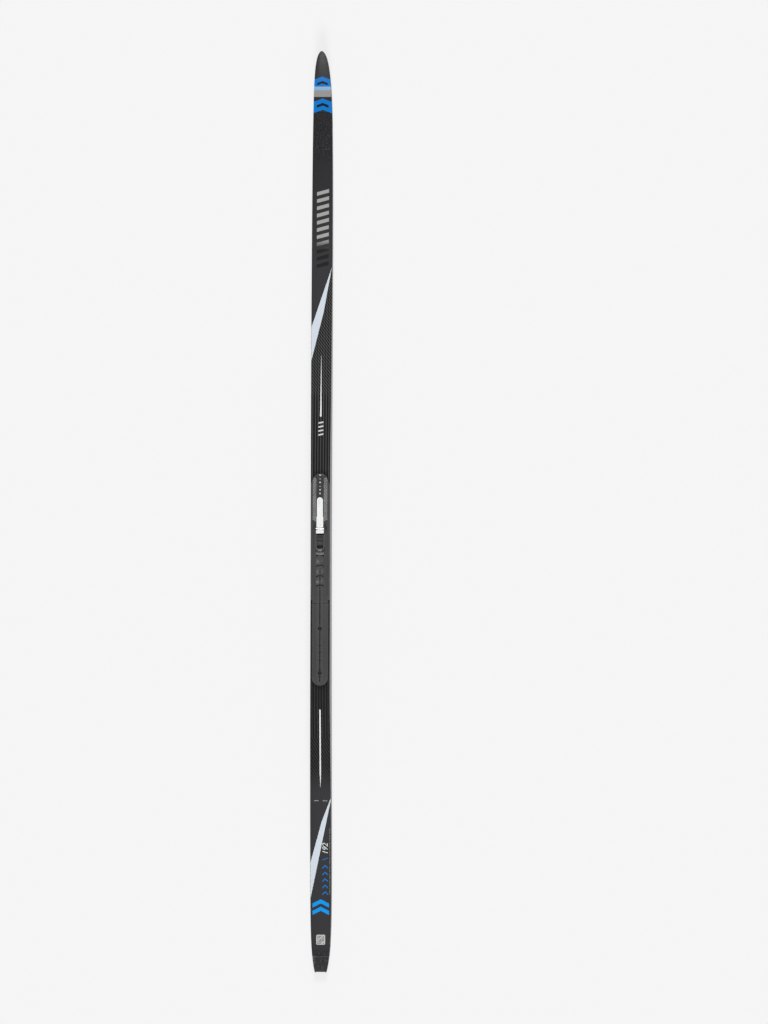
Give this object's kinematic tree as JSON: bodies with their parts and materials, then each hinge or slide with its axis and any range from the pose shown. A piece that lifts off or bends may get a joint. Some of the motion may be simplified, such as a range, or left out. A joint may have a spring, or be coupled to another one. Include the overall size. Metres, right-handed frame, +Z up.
{
  "type": "cross country ski",
  "caption": "Long narrow cambered ski with a turned-up tip and a toe-bar binding: white release lever, sprung jaw, rubber flexor and heel plate.",
  "frame": {"origin": "on the floor, midway along the ski and on its centre line, with the ski lying on its base", "axes": "+Y along the ski from tail to tip, +X across it to the skier's right, +Z up"},
  "size_m": [0.0456, 1.92, 0.0637],
  "materials": {
    "top_print": "printed satin top film",
    "running_base": "ground graphite base",
    "sidewall_silver": "silver grey satin",
    "laminate": "fibre laminate",
    "foam_core": "light wood and air-channel core",
    "tip_plastic": "moulded black",
    "plate_plastic": "moulded dark grey",
    "smoked_plastic": "smoked dark grey",
    "lever_white": "moulded white",
    "steel": "satin",
    "spring_steel": "drawn wire",
    "flexor_rubber": "matt black",
    "screw_black": "black oxide"
  },
  "bodies": {
    "ski": {"base_sheet": "running_base", "lower_laminate": "laminate", "core": "foam_core", "binding_reinforcement": "laminate", "upper_laminate": "laminate", "topsheet": "top_print", "sidewall_left": "sidewall_silver", "sidewall_right": "sidewall_silver", "tip_spacer": "tip_plastic", "tail_spacer": "tip_plastic", "tail_protector": "tip_plastic", "toe_plate": "plate_plastic", "heel_plate": "plate_plastic", "housing_cover": "smoked_plastic", "lever_axle": "steel", "jaw_spring": "spring_steel", "toe_bar_cradle": "steel", "flexor": "flexor_rubber", "flexor_pin": "steel", "screw_front": "screw_black", "screw_mid_left": "screw_black", "screw_mid_right": "screw_black", "screw_heel_front": "screw_black", "screw_heel_rear": "screw_black"},
    "lever": {"release_lever": "lever_white"},
    "jaw": {"jaw_slider": "steel"}
  },
  "joints": [
    {"name": "lever_hinge", "type": "hinge", "parent": "ski", "child": "lever", "pos_m": [0, -0.0348, 0.061], "axis": [1, 0, 0], "range_deg": [0, 80], "stiffness_Nm_per_rad": 0.01, "springref_deg": -8.59},
    {"name": "jaw_slide", "type": "slide", "parent": "ski", "child": "jaw", "axis": [0, 1, 0], "range_m": [0, 0.006], "deforming": ["jaw_spring"]}
  ],
  "couplings": [
    {"joint": "jaw_slide", "follows": "lever_hinge", "m_per_rad": 0.00429}
  ]
}
